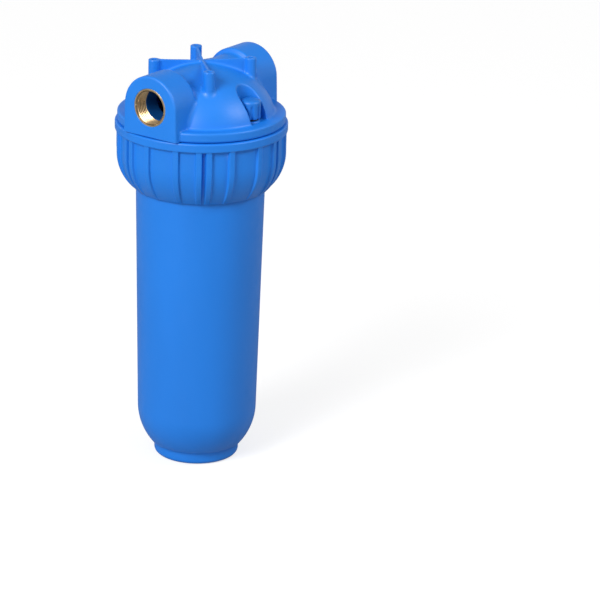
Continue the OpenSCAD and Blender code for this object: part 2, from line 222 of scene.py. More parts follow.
def port_radius(tree):
    """The distance from the axis that the two ports share."""
    coord = add(tree, "ShaderNodeTexCoord")
    across = add(tree, "ShaderNodeMapping", {"Vector": coord.outputs["Object"], "Scale": (0, 1, 1),
                                             "Location": (0, 0, -PORT_Z * MM)})
    reach = add(tree, "ShaderNodeVectorMath", {0: across.outputs["Vector"]}, operation="LENGTH")
    return reach.outputs["Value"]


def port_bore_shade_mask(tree):
    """1 inside the two ports' bores, 0 outside them: where painted shade darkens the colour."""
    return spread(tree, port_radius(tree), 1.0, 0.0, (PORT_BORE_R + 0.3) * MM, INSERT_R * MM)


def thread_root_shade(tree):
    """Rises from 0 on the crests of the inserts' threads to 1 in their roots, and is 0 outside them; it
    places painted shade in the roots.
    """
    radius = port_radius(tree)
    inside = spread(tree, radius, 0.0, 1.0, (THREAD_MINOR_R + 0.15) * MM, THREAD_MAJOR_R * MM)
    outside = spread(tree, radius, 1.0, 0.0, (THREAD_MAJOR_R + 0.02) * MM, (THREAD_MAJOR_R + 0.12) * MM)
    return combined(tree, "MULTIPLY", inside, outside)


def moulded_plastic(name, colour, rough=0.42, bores=False):
    """Satin moulded polypropylene: a fine grain, faint flow clouds, and paler edges that are partly scuffs
    and partly a painted highlight; with bores, painted shade darkens the port bores.
    """
    material, tree, shader = new_material(name)
    darker = tuple(c * 0.93 for c in colour)
    paler = tuple(c + (1 - c) * 0.07 for c in colour)
    clouds = spread(tree, noise(tree, 22, 2.0, stretch=(1, 1, 0.35)), 0.0, 1.0, 0.3, 0.7)
    tone = blend(tree, clouds, darker, colour)
    scuffs = noise(tree, 260, 4.0)
    # paler edges: partly scuffs, partly a painted highlight on the convex edges
    edge_wear_and_highlight = combined(tree, "MULTIPLY", edges(tree, 0.53, 0.66), spread(tree, scuffs, 0.2, 1, 0.4, 0.65))
    skin = blend(tree, edge_wear_and_highlight, tone, paler)
    if bores:
        # painted shade: the port bores' colour is darkened as if they were in shadow
        skin = blend(tree, port_bore_shade_mask(tree), skin, tuple(c * BORE_PAINTED_SHADE for c in colour))
    tree.links.new(skin, shader.inputs["Base Color"])
    grain = noise(tree, 1500, 2.0)
    marks = noise(tree, 90, 5.0, 0.7)
    tree.links.new(spread(tree, marks, rough - 0.05, rough + 0.07, 0.3, 0.7), shader.inputs["Roughness"])
    waves = combined(tree, "ADD", grain, noise(tree, 45, 1.0))
    bump(tree, shader, waves, 0.00006, 0.5)
    shader.inputs["IOR"].default_value = 1.49
    shader.inputs["Specular IOR Level"].default_value = 0.5
    return material


def turned_brass(name):
    """Machined brass: turning marks round the bore, a little tarnish, painted shade darkening the thread
    roots, and paler edges that are partly rubbed brass and partly a painted highlight.
    """
    material, tree, shader = new_material(name)
    tarnish = spread(tree, noise(tree, 240, 4.0), 0.0, 0.55, 0.35, 0.75)
    tone = blend(tree, tarnish, BRASS, BRASS_TARNISHED)
    # painted shade: the thread roots are darkened as if they were in shadow
    tone = blend(tree, thread_root_shade(tree), tone, BRASS_ROOT_SHADE)
    # paler edges: partly rubbed brass, partly a painted highlight on the convex edges
    bright = blend(tree, edges(tree, 0.51, 0.62), tone, BRASS_EDGE_WEAR_AND_HIGHLIGHT)
    tree.links.new(bright, shader.inputs["Base Color"])
    shader.inputs["Metallic"].default_value = 1.0
    marks = noise(tree, 900, 3.0, stretch=(6, 0.3, 0.3))
    tree.links.new(spread(tree, marks, 0.24, 0.40, 0.3, 0.7), shader.inputs["Roughness"])
    bump(tree, shader, marks, 0.00002, 0.2)
    return material


def moulded_rubber(name):
    """Matt black nitrile rubber with a dusty bloom."""
    material, tree, shader = new_material(name)
    dust = spread(tree, noise(tree, 400, 5.0), 0.0, 0.5, 0.4, 0.8)
    tree.links.new(blend(tree, dust, RUBBER, RUBBER_BLOOM), shader.inputs["Base Color"])
    tree.links.new(spread(tree, noise(tree, 1200), 0.55, 0.8), shader.inputs["Roughness"])
    bump(tree, shader, noise(tree, 2500, 2.0), 0.00004, 0.5)
    return material


def pleated_fabric(name):
    """Spun-bonded polyester with calendered dots and loose fibres."""
    material, tree, shader = new_material(name)
    coord = add(tree, "ShaderNodeTexCoord")
    dots = add(tree, "ShaderNodeTexVoronoi", {"Vector": coord.outputs["Object"], "Scale": 900.0})
    fibre = noise(tree, 2200, 4.0, stretch=(1, 1, 0.25))
    shade = spread(tree, fibre, 0.0, 1.0, 0.3, 0.7)
    tree.links.new(blend(tree, shade, FIBRE_SHADED, FIBRE_LIT), shader.inputs["Base Color"])
    tree.links.new(spread(tree, fibre, 0.75, 0.95), shader.inputs["Roughness"])
    height = combined(tree, "ADD", dots.outputs["Distance"], fibre)
    bump(tree, shader, height, 0.0001, 0.6)
    shader.inputs["Sheen Weight"].default_value = 0.3
    return material


MATERIALS = {
    "head_plastic": moulded_plastic("head_plastic", BLUE, bores=True),
    "nut_plastic": moulded_plastic("nut_plastic", BLUE),
    "bowl_plastic": moulded_plastic("bowl_plastic", BLUE),
    "knob_plastic": moulded_plastic("knob_plastic", tuple(c * KNOB_SHADE for c in BLUE)),
    "cartridge_plastic": moulded_plastic("cartridge_plastic", OFF_WHITE, 0.5),
    "insert_brass": turned_brass("insert_brass"),
    "seal_rubber": moulded_rubber("seal_rubber"),
    "filter_media": pleated_fabric("filter_media"),
}

# ------------------------------------------------------------------ mesh helpers


def arc(cx, cy, r, a0, a1, n):
    """Points of an arc about a centre, between two angles in degrees."""
    angles = np.radians(np.linspace(a0, a1, n + 1))
    return [(cx + r * math.cos(a), cy + r * math.sin(a)) for a in angles]


def new_object(name, points, faces):
    """A closed mesh object from points in millimetres, with its normals outwards."""
    mesh = bpy.data.meshes.new(name)
    mesh.from_pydata((np.asarray(points, float) * MM).tolist(), [], faces)
    work = bmesh.new()
    work.from_mesh(mesh)
    bmesh.ops.remove_doubles(work, verts=work.verts, dist=1e-7)
    bmesh.ops.dissolve_degenerate(work, edges=work.edges, dist=1e-8)
    bmesh.ops.delete(work, geom=[edge for edge in work.edges if edge.is_wire], context="EDGES")
    bmesh.ops.recalc_face_normals(work, faces=work.faces)
    work.to_mesh(mesh)
    work.free()
    obj = bpy.data.objects.new(name, mesh)
    bpy.context.scene.collection.objects.link(obj)
    return obj


def wrapped(name, grid):
    """A closed solid from grid[column][row]. The columns go round it, and each one's rows form a loop."""
    grid = np.asarray(grid, float)
    columns, rows = grid.shape[:2]
    i, j = np.meshgrid(np.arange(columns - 1), np.arange(rows), indexing="ij")
    ahead = (j + 1) % rows
    faces = np.stack([i * rows + j, (i + 1) * rows + j, (i + 1) * rows + ahead, i * rows + ahead], -1)
    return new_object(name, grid.reshape(-1, 3), faces.reshape(-1, 4).tolist())


def round_grid(radii, heights, angles):
    """Grid of points from radii and heights, each shaped (columns, rows) or (rows,)."""
    angles = np.asarray(angles)
    if angles.ndim == 1:
        angles = angles[:, None]
    radii = np.broadcast_to(radii, (angles.shape[0], np.shape(radii)[-1]))
    heights = np.broadcast_to(heights, radii.shape)
    return np.stack([radii * np.cos(angles), radii * np.sin(angles), heights], -1)


def held(outline, room=0.4):
    """The outline with a point near each end of its long straight stretches.

    It keeps the edge wear and painted edge highlight of the materials at the edges.
    """
    points = []
    for (x0, y0), (x1, y1) in zip(outline, outline[1:]):
        length = math.hypot(x1 - x0, y1 - y0)
        points.append((x0, y0))
        if length > 5 * room:
            points += [(x0 + (x1 - x0) * t, y0 + (y1 - y0) * t) for t in (room / length, 1 - room / length)]
    return points + [outline[-1]]


def revolved(name, profile, segments):
    """A solid of revolution about Z from a closed outline of (radius, height)."""
    profile = np.array(held(profile))
    return wrapped(name, round_grid(profile[:, 0], profile[:, 1], np.linspace(0, TURN, segments + 1)))


def extruded(name, outline, z0, z1):
    """A straight solid from an outline in X and Y."""
    count = len(outline)
    points = [(x, y, z) for z in (z0, z1) for x, y in outline]
    sides = [(i, (i + 1) % count, count + (i + 1) % count, count + i) for i in range(count)]
    return new_object(name, points, sides + [tuple(range(count))[::-1], tuple(range(count, 2 * count))])


def moved(obj, matrix):
    obj.data.transform(matrix)
    if matrix.determinant() < 0:
        obj.data.flip_normals()
    return obj


def along_x(obj, x, z):
    """Turns a piece made about Z so that its axis runs along +X from (x, 0, z)."""
    return moved(obj, Matrix.Translation((x * MM, 0, z * MM)) @ Matrix.Rotation(math.pi / 2, 4, "Y"))


def shifted(obj, x=0.0, y=0.0, z=0.0):
    return moved(obj, Matrix.Translation((x * MM, y * MM, z * MM)))


def boolean(target, tools, operation):
    """Adds each tool to the target or cuts it out, and removes the tools."""
    for tool in tools:
        step = target.modifiers.new("step", "BOOLEAN")
        step.operation = operation
        step.solver = "MANIFOLD"
        step.object = tool
    graph = bpy.context.evaluated_depsgraph_get()
    mesh = bpy.data.meshes.new_from_object(target.evaluated_get(graph))
    target.modifiers.clear()
    target.data = mesh
    for tool in tools:
        bpy.data.objects.remove(tool)
    return target


def helical_ridge(name, root_r, crest_r, z0, turns):
    """A right-handed ridge of the closure thread that fades out at both ends."""
    columns = int(96 * turns) + 1
    t = np.linspace(0, turns, columns)
    fade = np.clip(np.minimum(t, turns - t) * 12, 0.15, 1)
    section = [(0, -RIDGE_ROOT / 2), (0.85, -RIDGE_CREST / 2 - 0.12), (1, -RIDGE_CREST / 2 + 0.3),
               (1, RIDGE_CREST / 2 - 0.3), (0.85, RIDGE_CREST / 2 + 0.12), (0, RIDGE_ROOT / 2)]
    out = np.array([p[0] for p in section])
    rise = np.array([p[1] for p in section])
    radii = root_r + (crest_r - root_r) * out * fade[:, None]
    grid = round_grid(radii, z0 + PITCH * t[:, None] + rise, TURN * t)
    rows = len(section)
    points = grid.reshape(-1, 3)
    faces = [(i * rows + j, (i + 1) * rows + j, (i + 1) * rows + (j + 1) % rows, i * rows + (j + 1) % rows)
             for i in range(columns - 1) for j in range(rows)]
    ends = [tuple(range(rows)), tuple(range((columns - 1) * rows, columns * rows))[::-1]]
    return new_object(name, points, faces + ends)


def finish_piece(obj, node, slot, sharp=38):
    """Shades a piece, gives it its material, and puts it on its node's body in the node's place."""
    mesh = obj.data
    mesh.materials.clear()
    mesh.materials.append(MATERIALS[slot])
    mesh.shade_smooth()
    mesh.set_sharp_from_angle(angle=math.radians(sharp))
    body = next(b for b, members in frame["record"]["behaviour"]["bodies"].items() if node in members)
    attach(obj, body)
    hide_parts(node)


# ------------------------------------------------------------------ signed distance fields


def join(a, b, r):
    """Union with a fillet of radius r."""
    return np.maximum(r, np.minimum(a, b)) - np.hypot(np.maximum(r - a, 0), np.maximum(r - b, 0))


def meet(a, b, r):
    """Intersection with an edge of radius r."""
    return -join(-a, -b, r)


def ellipsoid(rho, up, r, h):
    k0 = np.sqrt((rho / r) ** 2 + (up / h) ** 2)
    k1 = np.sqrt((rho / r ** 2) ** 2 + (up / h ** 2) ** 2)
    return k0 * (k0 - 1) / np.maximum(k1, 1e-6)


def surface_net(name, field, low, high, step):
    """Meshes the zero surface of a field: one point per mixed cell, then moved onto the surface."""
    axes = [np.arange(a, b + step, step, dtype=np.float32) for a, b in zip(low, high)]
    value = field(*np.meshgrid(*axes, indexing="ij", sparse=True)).astype(np.float32)
    inside = value < 0
    cells = tuple(n - 1 for n in value.shape)
    total = np.zeros((*cells, 3), np.float32)
    count = np.zeros(cells, np.float32)
    crossings = []
    for axis in range(3):
        first = tuple(slice(0, -1) if k == axis else slice(None) for k in range(3))
        second = tuple(slice(1, None) if k == axis else slice(None) for k in range(3))
        crossed = inside[first] != inside[second]
        where = np.argwhere(crossed)
        a, b = value[first][crossed], value[second][crossed]
        point = where.astype(np.float32)
        point[:, axis] += a / (a - b)
        crossings.append((where, inside[first][crossed]))
        others = [k for k in range(3) if k != axis]
        for du in (0, 1):
            for dv in (0, 1):
                cell = where.copy()
                cell[:, others[0]] -= du
                cell[:, others[1]] -= dv
                keep = np.all((cell >= 0) & (cell < cells), axis=1)
                target = tuple(cell[keep].T)
                np.add.at(total, target, point[keep])
                np.add.at(count, target, 1)
    used = count > 0
    number = np.full(cells, -1, np.int64)
    number[used] = np.arange(used.sum())
    points = np.array(low) + step * total[used] / count[used][:, None]
    faces = []
    for axis, (where, starts_inside) in enumerate(crossings):
        u, v = [k for k in range(3) if k != axis]
        keep = np.all(where[:, [u, v]] > 0, axis=1)
        where, starts_inside = where[keep], starts_inside[keep]
        quad = []
        for du, dv in ((1, 1), (0, 1), (0, 0), (1, 0)):
            cell = where.copy()
            cell[:, u] -= du
            cell[:, v] -= dv
            quad.append(number[tuple(cell.T)])
        quad = np.stack(quad, -1)
        flip = starts_inside if axis != 1 else ~starts_inside
        quad[~flip] = quad[~flip][:, ::-1]
        faces.append(quad)
    points = onto_surface(points, field, step)
    return new_object(name, points, np.concatenate(faces).tolist())


def onto_surface(points, field, step):
    """Moves points along the field's gradient until they lie on its zero surface."""
    probe = 0.02
    for _ in range(4):
        x, y, z = points.T
        gradient = np.stack([field(x + probe, y, z) - field(x - probe, y, z),
                             field(x, y + probe, z) - field(x, y - probe, z),
                             field(x, y, z + probe) - field(x, y, z - probe)], -1) / (2 * probe)
        length = np.maximum((gradient ** 2).sum(1), 0.2)
        move = gradient * (field(x, y, z) / length)[:, None]
        points = points - np.clip(move, -step / 2, step / 2)
    return points


# ------------------------------------------------------------------ head


def port_block(x, y, z):
    """The arch over straight sides round each port."""
    lean = ARCH_SPREAD * (PORT_Z - z) / (PORT_Z - RIM_Z)
    arch = np.where(z > PORT_Z, np.hypot(y, z - PORT_Z) - ARCH_R, np.abs(y) - ARCH_R - lean)
    outer = meet(arch, np.abs(x) - PORT_FACE, 1.3)
    return meet(outer, BLOCK_IN - np.abs(x), 1.6)


def pocket_plan(x, y):
    return np.where(y > POCKET_Y, np.hypot(x, y - POCKET_Y), np.abs(x)) - POCKET_R


def uprights(x, y, z):
    """The four screw posts and the crossed web between them."""
    rho = np.hypot(x, y)
    reach = POST_AT * math.sqrt(2)
    posts = np.hypot(np.abs(x) - POST_AT, np.abs(y) - POST_AT) - POST_R
    cross = np.minimum(np.abs(x - y), np.abs(x + y)) / math.sqrt(2) - WEB_T / 2
    plan = join(join(np.maximum(cross, rho - reach), rho - HUB_R, 0.8), posts, 0.9)
    top = POST_TOP - WEB_DIP * np.clip(1 - rho / (reach - POST_R), 0, 1)
    return meet(plan, z - top, 0.5)


def head_outside(x, y, z):
    rho = np.hypot(x, y)
    rim = meet(rho - RIM_R, np.abs(z - RIM_Z - RIM_T / 2) - RIM_T / 2, RIM_EDGE)
    dome = ellipsoid(rho, z - DOME_Z, DOME_R, DOME_H)
    body = join(rim, dome, 1.6)
    tunnel = np.maximum(np.hypot(y, z - PORT_Z) - TUNNEL_R, np.abs(x) - BLOCK_IN - 1)
    body = join(body, tunnel, 3.5)
    fillet = np.interp(z, (POCKET_FLOOR - 1, POCKET_FLOOR + 5), (0.9, 2.4))
    body = join(body, port_block(x, y, z), fillet)
    body = join(body, uprights(x, y, z), 2.4)
    pocket = meet(pocket_plan(x, y), POCKET_FLOOR - z, 0.9)
    body = meet(body, -pocket, np.interp(z, (POCKET_FLOOR + 0.2, POCKET_FLOOR + 1.8), (0.01, 1.0)))
    seat = meet(np.hypot(x, y - VENT_Y) - VENT_SEAT_R, z - VENT_SEAT_Z, 0.3)
    body = join(body, seat, 0.4)
    return np.maximum(np.maximum(body, RIM_Z - z), np.abs(x) - PORT_FACE)


def head_inside(x, y, z):
    """The water space under the dome, round the outlet column and the vent's boss."""
    rho = np.hypot(x, y)
    wall = DOME_WALL + 1.5
    dome = ellipsoid(rho, z - DOME_Z, DOME_R - wall, DOME_H - DOME_WALL)
    lower = np.maximum(rho - SKIRT_IN_R, z - DOME_Z)
    space = join(np.maximum(dome, DOME_Z - z), lower, 0.5)
    tunnel = np.maximum(np.hypot(y, z - PORT_Z) - TUNNEL_R + TUNNEL_WALL, np.maximum(-x - BLOCK_IN, x))
    space = join(space, tunnel, 2.0)
    blocks = np.maximum(port_block(x, y, z), RIM_Z - z)
    column = np.maximum(rho - COLUMN_R, COLUMN_Z - z)
    tube = np.maximum(np.hypot(y, z - PORT_Z) - PORT_BORE_R - PORT_TUBE_WALL, -x)
    spigot = np.maximum(rho - SPIGOT_R, COLUMN_Z - SPIGOT_L - z)
    boss = np.maximum(pocket_plan(x, y) - VENT_BOSS_WALL, SCREW_LOW[2] - z)
    for solid, fillet in ((blocks, 2.0), (column, 1.5), (tube, 1.5), (spigot, 0.5), (boss, 1.5)):
        space = meet(space, -solid, fillet)
    return np.maximum(space, SKIRT_Z - 1 - z)


def port_seat():
    """The cut for the outlet's insert, with a small flare at the port's face."""
    flare = 0.35
    outline = [(0, 0), (INSERT_BACK_R, 0), (INSERT_R, INSERT_L - flare), (INSERT_R + flare, INSERT_L),
               (INSERT_R + flare, INSERT_L + 2), (0, INSERT_L + 2)]
    return along_x(revolved("seat", outline, 128), PORT_FACE - INSERT_L, PORT_Z)


def mirrored(obj):
    return moved(obj, Matrix.Scale(-1, 4, (1, 0, 0)))


def cylinder(r, z0, z1, segments=96):
    return revolved("cylinder", [(0, z0), (r, z0), (r, z1), (0, z1)], segments)


def port_cuts():
    """The inserts' seats, the two port bores, and the inlet's opening under the dome."""
    outlet = along_x(cylinder(PORT_BORE_R, 0, PORT_FACE), 0, PORT_Z)
    inlet = mirrored(along_x(cylinder(PORT_BORE_R, BLOCK_IN - 1, PORT_FACE), 0, PORT_Z))
    tunnel_bore = cylinder(TUNNEL_R - TUNNEL_WALL, BLOCK_IN - 3, PORT_FACE - INLET_L)
    return [port_seat(), mirrored(port_seat()), outlet, inlet, mirrored(along_x(tunnel_bore, 0, PORT_Z))]


def column_cuts():
    """The bore of the outlet column and that of the spigot below it."""
    return [cylinder(COLUMN_BORE_R, COLUMN_Z + SPIGOT_WALL, COLUMN_BORE_TOP),
            cylinder(SPIGOT_R - SPIGOT_WALL, COLUMN_Z - SPIGOT_L - 1, COLUMN_Z + SPIGOT_WALL + 1)]


def post_holes():
    """The blind holes for the bracket's screws."""
    mouth = 0.35
    floor, over = POST_TOP - POST_HOLE_DEPTH, POST_TOP + 1
    outline = [(0, floor), (POST_HOLE_R, floor), (POST_HOLE_R, POST_TOP - mouth),
               (POST_HOLE_R + mouth, POST_TOP), (POST_HOLE_R + mouth, over), (0, over)]
    return [shifted(revolved("hole", outline, 40), sx * POST_AT, sy * POST_AT)
            for sx in (-1, 1) for sy in (-1, 1)]


def build_head():
    reach = max(RIM_R, PORT_FACE) + 1.3
    head = surface_net("head_body", head_outside, (-reach, -reach, RIM_Z - 1.7),
                       (reach, reach, POST_TOP + 1.4), 0.85)
    skirt = [(0, SKIRT_Z), (SKIRT_R - 1, SKIRT_Z), (SKIRT_R, SKIRT_Z + 1), (SKIRT_R, RIM_Z - 0.4),
             (SKIRT_R + 0.4, RIM_Z), (SKIRT_R + 0.4, RIM_Z + 2), (0, RIM_Z + 2)]
    ridge = helical_ridge("ridge", SKIRT_R - 0.6, SKIRT_R + RIDGE_H, HEAD_RIDGE_Z, HEAD_RIDGE_TURNS)
    boolean(head, [revolved("skirt", skirt, SEGMENTS), ridge], "UNION")
    reach = DOME_R + 1
    space = surface_net("space", head_inside, (-reach, -reach, SKIRT_Z - 2.5),
                        (reach, reach, DOME_Z + DOME_H + 1), 1.4)
    vent_hole = shifted(cylinder(VENT_HOLE_R, SCREW_LOW[2] - 2, VENT_SEAT_Z + 1, 48), y=VENT_Y)
    boolean(head, [space, *port_cuts(), *column_cuts(), vent_hole, *post_holes()], "DIFFERENCE")
    finish_piece(head, "head", "head_plastic")


# ------------------------------------------------------------------ port inserts


def thread_wave(phase):
    """A flattened triangle wave, from 0 at a crest of the bore to 1 at a root."""
    saw = np.abs((phase % 1.0) * 2 - 1)
    return np.clip(saw * 1.3 - 0.15, 0, 1)


def build_insert(node, side):
    """One brass ring with its thread: a grid whose rows follow the thread's helix."""
    columns, per_pitch = 160, 12
    angles = np.linspace(0, TURN, columns + 1)
    chamfer, lip = 1.3, 0.3
    outer = [(INSERT_BACK_R - lip, 0), (INSERT_BACK_R, lip), (INSERT_R, INSERT_L - lip),
             (INSERT_R - lip, INSERT_L), (THREAD_MINOR_R + chamfer + 0.1, INSERT_L)]
    turns = INSERT_L / THREAD_PITCH
    steps = np.arange(math.ceil((turns + 1) * per_pitch), -1, -1) / per_pitch
    height = np.clip((steps[None, :] + angles[:, None] / TURN - 1) * THREAD_PITCH, 0, INSERT_L)
    wave = thread_wave(height / THREAD_PITCH - angles[:, None] / TURN)
    radius = THREAD_MINOR_R + (THREAD_MAJOR_R - THREAD_MINOR_R) * wave
    mouth = THREAD_MINOR_R + chamfer - (INSERT_L - height)
    back = THREAD_MINOR_R + chamfer / 2 - height
    radius = np.maximum(radius, np.maximum(mouth, back))
    outer_r = np.broadcast_to([p[0] for p in outer], (columns + 1, len(outer)))
    outer_h = np.broadcast_to([p[1] for p in outer], (columns + 1, len(outer)))
    grid = round_grid(np.hstack([outer_r, radius]), np.hstack([outer_h, height]), angles)
    piece = along_x(wrapped(node + "_ring", grid), PORT_FACE - INSERT_L, PORT_Z)
    if side < 0:
        moved(piece, Matrix.Rotation(math.pi, 4, "Z"))
    finish_piece(piece, node, "insert_brass", 30)


# ------------------------------------------------------------------ ring nut

NUT_FOOT_Z = 220.4
NUT_BULGE_Z = 249.0
NUT_FLANGE_Z = NUT_TOP - 7
NUT_EDGE = 0.8
FLANGE_EDGE = 1.2
CREST_R, CREST_LOW_R = 65.4, 52.8
RIB_H, RIB_FOOT_H = 2.3, 0.5
RIB_W = 4.8
FIRST_PAIR = -140.8
PAIR_STEP = 60
PAIR_HALF = 3.4
GAP_SINK = 0.55             # how much deeper the gap in a pair is, as a share of the rib's height
SINGLE_AT = 19.05
NUT_WALL_R = SKIRT_R + RIDGE_H + 0.6
NUT_BORE_R = 50.4
NUT_STEP_Z = FLANGE_Z - 0.3
RIB_FILLET = 0.85
PANEL_STEP = 2.2            # between columns of points across a panel


def nut_side(top_r, low_r, overhang):
    """One outline of the nut's outside, from its foot up to the flange's underside."""
    rise = NUT_BULGE_Z - NUT_FOOT_Z
    r = (rise ** 2 + (top_r - low_r) ** 2) / (2 * (top_r - low_r))
    foot = math.degrees(math.asin(rise / r))
    foot_c = (low_r - NUT_EDGE * math.cos(math.radians(foot)),
              NUT_FOOT_Z + NUT_EDGE * math.sin(math.radians(foot)))
    lower = arc(foot_c[0], foot_c[1], NUT_EDGE, -90, -foot, 6)
    side = arc(top_r - r, NUT_BULGE_Z, r, -foot, 0, 30)[1:]
    straight = NUT_FLANGE_Z - overhang - NUT_BULGE_Z
    upright = [(top_r, NUT_BULGE_Z + straight * k / 6) for k in range(1, 7)]
    corner = arc(top_r + overhang, NUT_FLANGE_Z - overhang, overhang, 180, 90, 5)[1:]
    return lower + side + upright + corner


def rib_weights():
    """Places across a rib, in millimetres from its middle, with the share of the rib's height there."""
    half = RIB_W / 2
    shoulder = [(RIB_FILLET, 0.0), (0.57, 0.03), (0.22, 0.18), (0.0, 0.60),
                (-0.16, 0.86), (-0.45, 0.98), (-0.9, 1.0)]
    left = [(-half - d, w) for d, w in shoulder]
    return left + [(0.0, 1.0)] + [(-d, w) for d, w in reversed(left)]


def flange_foot(start):
    """The flange's lower edge, from where the side or a rib runs into it."""
    return arc(NUT_R - FLANGE_EDGE, NUT_FLANGE_Z + FLANGE_EDGE, FLANGE_EDGE, start, 0, 5)


def nut_columns():
    """Angles round the nut, with the share of the ribs' height at each."""
    angles, shares = [], []
    for pair in range(360 // PAIR_STEP):
        start = FIRST_PAIR + pair * PAIR_STEP
        middles = [start - SINGLE_AT, start - PAIR_HALF, start + PAIR_HALF, start + SINGLE_AT]
        for n, middle in enumerate(middles):
            for off, share in rib_weights():
                in_gap = (n == 1 and off > 0) or (n == 2 and off < 0)
                angles.append(np.radians(middle) + off / CREST_R)
                shares.append(share - (1 - share) * GAP_SINK if in_gap else share)
            following = middles[n + 1] if n < 3 else middles[0] + PAIR_STEP
            room = np.radians(following - middle) - 2 * (RIB_W / 2 + RIB_FILLET) / CREST_R
            fill = max(int(room * CREST_R / PANEL_STEP), 1)
            angles += [angles[-1] + room * k / fill for k in range(1, fill)]
            shares += [0.0] * (fill - 1)
    return np.array(angles + [angles[0] + TURN]), np.array(shares + [shares[0]])


def build_ring_nut():
    barrel = nut_side(CREST_R - RIB_H, CREST_LOW_R - RIB_FOOT_H, 1.3)
    crest = nut_side(CREST_R, CREST_LOW_R, 0.25)
    flange = [(NUT_R, NUT_FLANGE_Z + FLANGE_EDGE + 0.4), (NUT_R, NUT_TOP - FLANGE_EDGE - 0.4)]
    flange += arc(NUT_R - FLANGE_EDGE, NUT_TOP - FLANGE_EDGE, FLANGE_EDGE, 0, 90, 6)
    mouth = 0.8
    step_r = SKIRT_R + 0.5
    bore = [(NUT_WALL_R + mouth, NUT_TOP), (NUT_WALL_R, NUT_TOP - 2 * mouth), (NUT_WALL_R, NUT_RIDGE_Z - 4),
            (step_r, NUT_RIDGE_Z - 6), (step_r, NUT_STEP_Z), (NUT_BORE_R, NUT_STEP_Z),
            (NUT_BORE_R, barrel[0][1] + 0.3), (NUT_BORE_R + 0.3, barrel[0][1])]
    low = np.array(barrel + flange_foot(-80) + flange + bore)
    high = np.array(crest + flange_foot(-40) + flange + bore)
    angles, shares = nut_columns()
    profile_r = low[:, 0] + (high[:, 0] - low[:, 0]) * shares[:, None]
    profile_z = low[:, 1] + (high[:, 1] - low[:, 1]) * shares[:, None]
    nut = wrapped("ring_nut_body", round_grid(profile_r, profile_z, angles))
    ridge = helical_ridge("nut_ridge", NUT_WALL_R + 0.6, NUT_WALL_R - RIDGE_H, NUT_RIDGE_Z, NUT_RIDGE_TURNS)
    boolean(nut, [ridge], "UNION")
    finish_piece(nut, "ring_nut", "nut_plastic", 42)


# ------------------------------------------------------------------ bowl

BALL_R = 46.35
BALL_Z = BALL_R - 6.15
FOOT_R, FOOT_H, FOOT_ROUND = 33.0, 9.5, 3.5
NECK_R = 49.9
DRAFT = 1                   # degrees
DRAFT_TOP_Z = 175           # above this the wall runs straight to the neck
GROOVE_OUT_R, GROOVE_IN_R, GROOVE_DEPTH = 54.8, 50.4, 3
BOWL_WALL = 4.0
SEAT_R, SEAT_Z = 20, 19.0
FLOOR_Z = 5.0
FIN_R = 36.4


def bowl_outline():
    crease = 1.6
    foot_top = math.degrees(math.asin((BALL_Z - FOOT_H - crease) / BALL_R))
    start = (BALL_R * math.cos(math.radians(foot_top)), FOOT_H + crease)
    draft_top_r = BALL_R + math.tan(math.radians(DRAFT)) * (DRAFT_TOP_Z - BALL_Z)
    top = BOWL_HIGH[2]
    groove = [(GROOVE_OUT_R, top), (GROOVE_OUT_R, top - GROOVE_DEPTH), (GROOVE_IN_R, top - GROOVE_DEPTH),
              (GROOVE_IN_R, top)]
    gate_mark = [(0, 0.8), (3, 0.8), (3.6, 0), (4, 0)]
    foot = arc(FOOT_R - FOOT_ROUND, FOOT_ROUND, FOOT_ROUND, -90, 0, 10)
    bend = arc(FOOT_R + crease * 1.2, FOOT_H - 0.4, crease * 1.2, 180, 125, 5)
    wall = arc(0, BALL_Z, BALL_R, -foot_top, 0, 30)
    wall = [p for p in wall if p[1] > start[1]]
    neck = [(draft_top_r, DRAFT_TOP_Z), (NECK_R - 0.1, FLANGE_Z - 1), (NECK_R + 0.4, FLANGE_Z)]
    edge = 0.8
    rim = arc(SKIRT_R - edge, FLANGE_Z + edge, edge, -90, 0, 4)
    rim += arc(SKIRT_R - edge, top - edge, edge, 0, 90, 4)
    outer = gate_mark + foot + bend + wall + neck + rim + groove
    inner_r = BALL_R - BOWL_WALL
    inner_cut = math.degrees(math.asin((BALL_Z - FLOOR_Z) / inner_r))
    mouth_r = NECK_R - BOWL_WALL
    inner = [(mouth_r + 0.6, top), (mouth_r, top - 0.6)] + arc(0, BALL_Z, inner_r, 0, -inner_cut, 24)
    seat = [(SEAT_R, FLOOR_Z), (SEAT_R, SEAT_Z), (SPIGOT_R, SEAT_Z), (SPIGOT_R, SEAT_Z + SPIGOT_L - 1),
            (SPIGOT_R - 1, SEAT_Z + SPIGOT_L), (SPIGOT_R - SPIGOT_WALL, SEAT_Z + SPIGOT_L),
            (SPIGOT_R - SPIGOT_WALL, FLOOR_Z), (0, FLOOR_Z)]
    return outer + inner + seat


def seat_fin(angle):
    """A fin that holds the cartridge's seat in the middle of the bowl."""
    thick = 3.0
    inner = SEAT_R - 1
    top = SEAT_Z - 0.3
    outline = [(inner, FLOOR_Z - 2), (26, FLOOR_Z - 2), (FIN_R, SEAT_Z - 2), (FIN_R, top), (inner, top)]
    fin = extruded("fin", outline, -thick / 2, thick / 2)
    return moved(fin, Matrix.Rotation(math.radians(angle), 4, "Z") @ Matrix.Rotation(math.pi / 2, 4, "X"))


def build_bowl():
    bowl = revolved("bowl_body", bowl_outline(), SEGMENTS)
    boolean(bowl, [seat_fin(a) for a in (45, 135, 225, 315)], "UNION")
    finish_piece(bowl, "bowl", "bowl_plastic")


# ------------------------------------------------------------------ vent screw

KNOB_Z = VENT_SEAT_Z + 1.6
KNOB_R = SCREW_HIGH[0]
KNOB_CAP = 2.4              # height and radius of the knob's rounded top edge
FLUTES, FLUTE_DEPTH = 8, 1.0
FLUTE_TOP = 0.76            # as a share of the knob's height
VENT_PITCH = 1.25
VENT_THREAD_DEPTH = 0.6
SHANK_R = 3.95


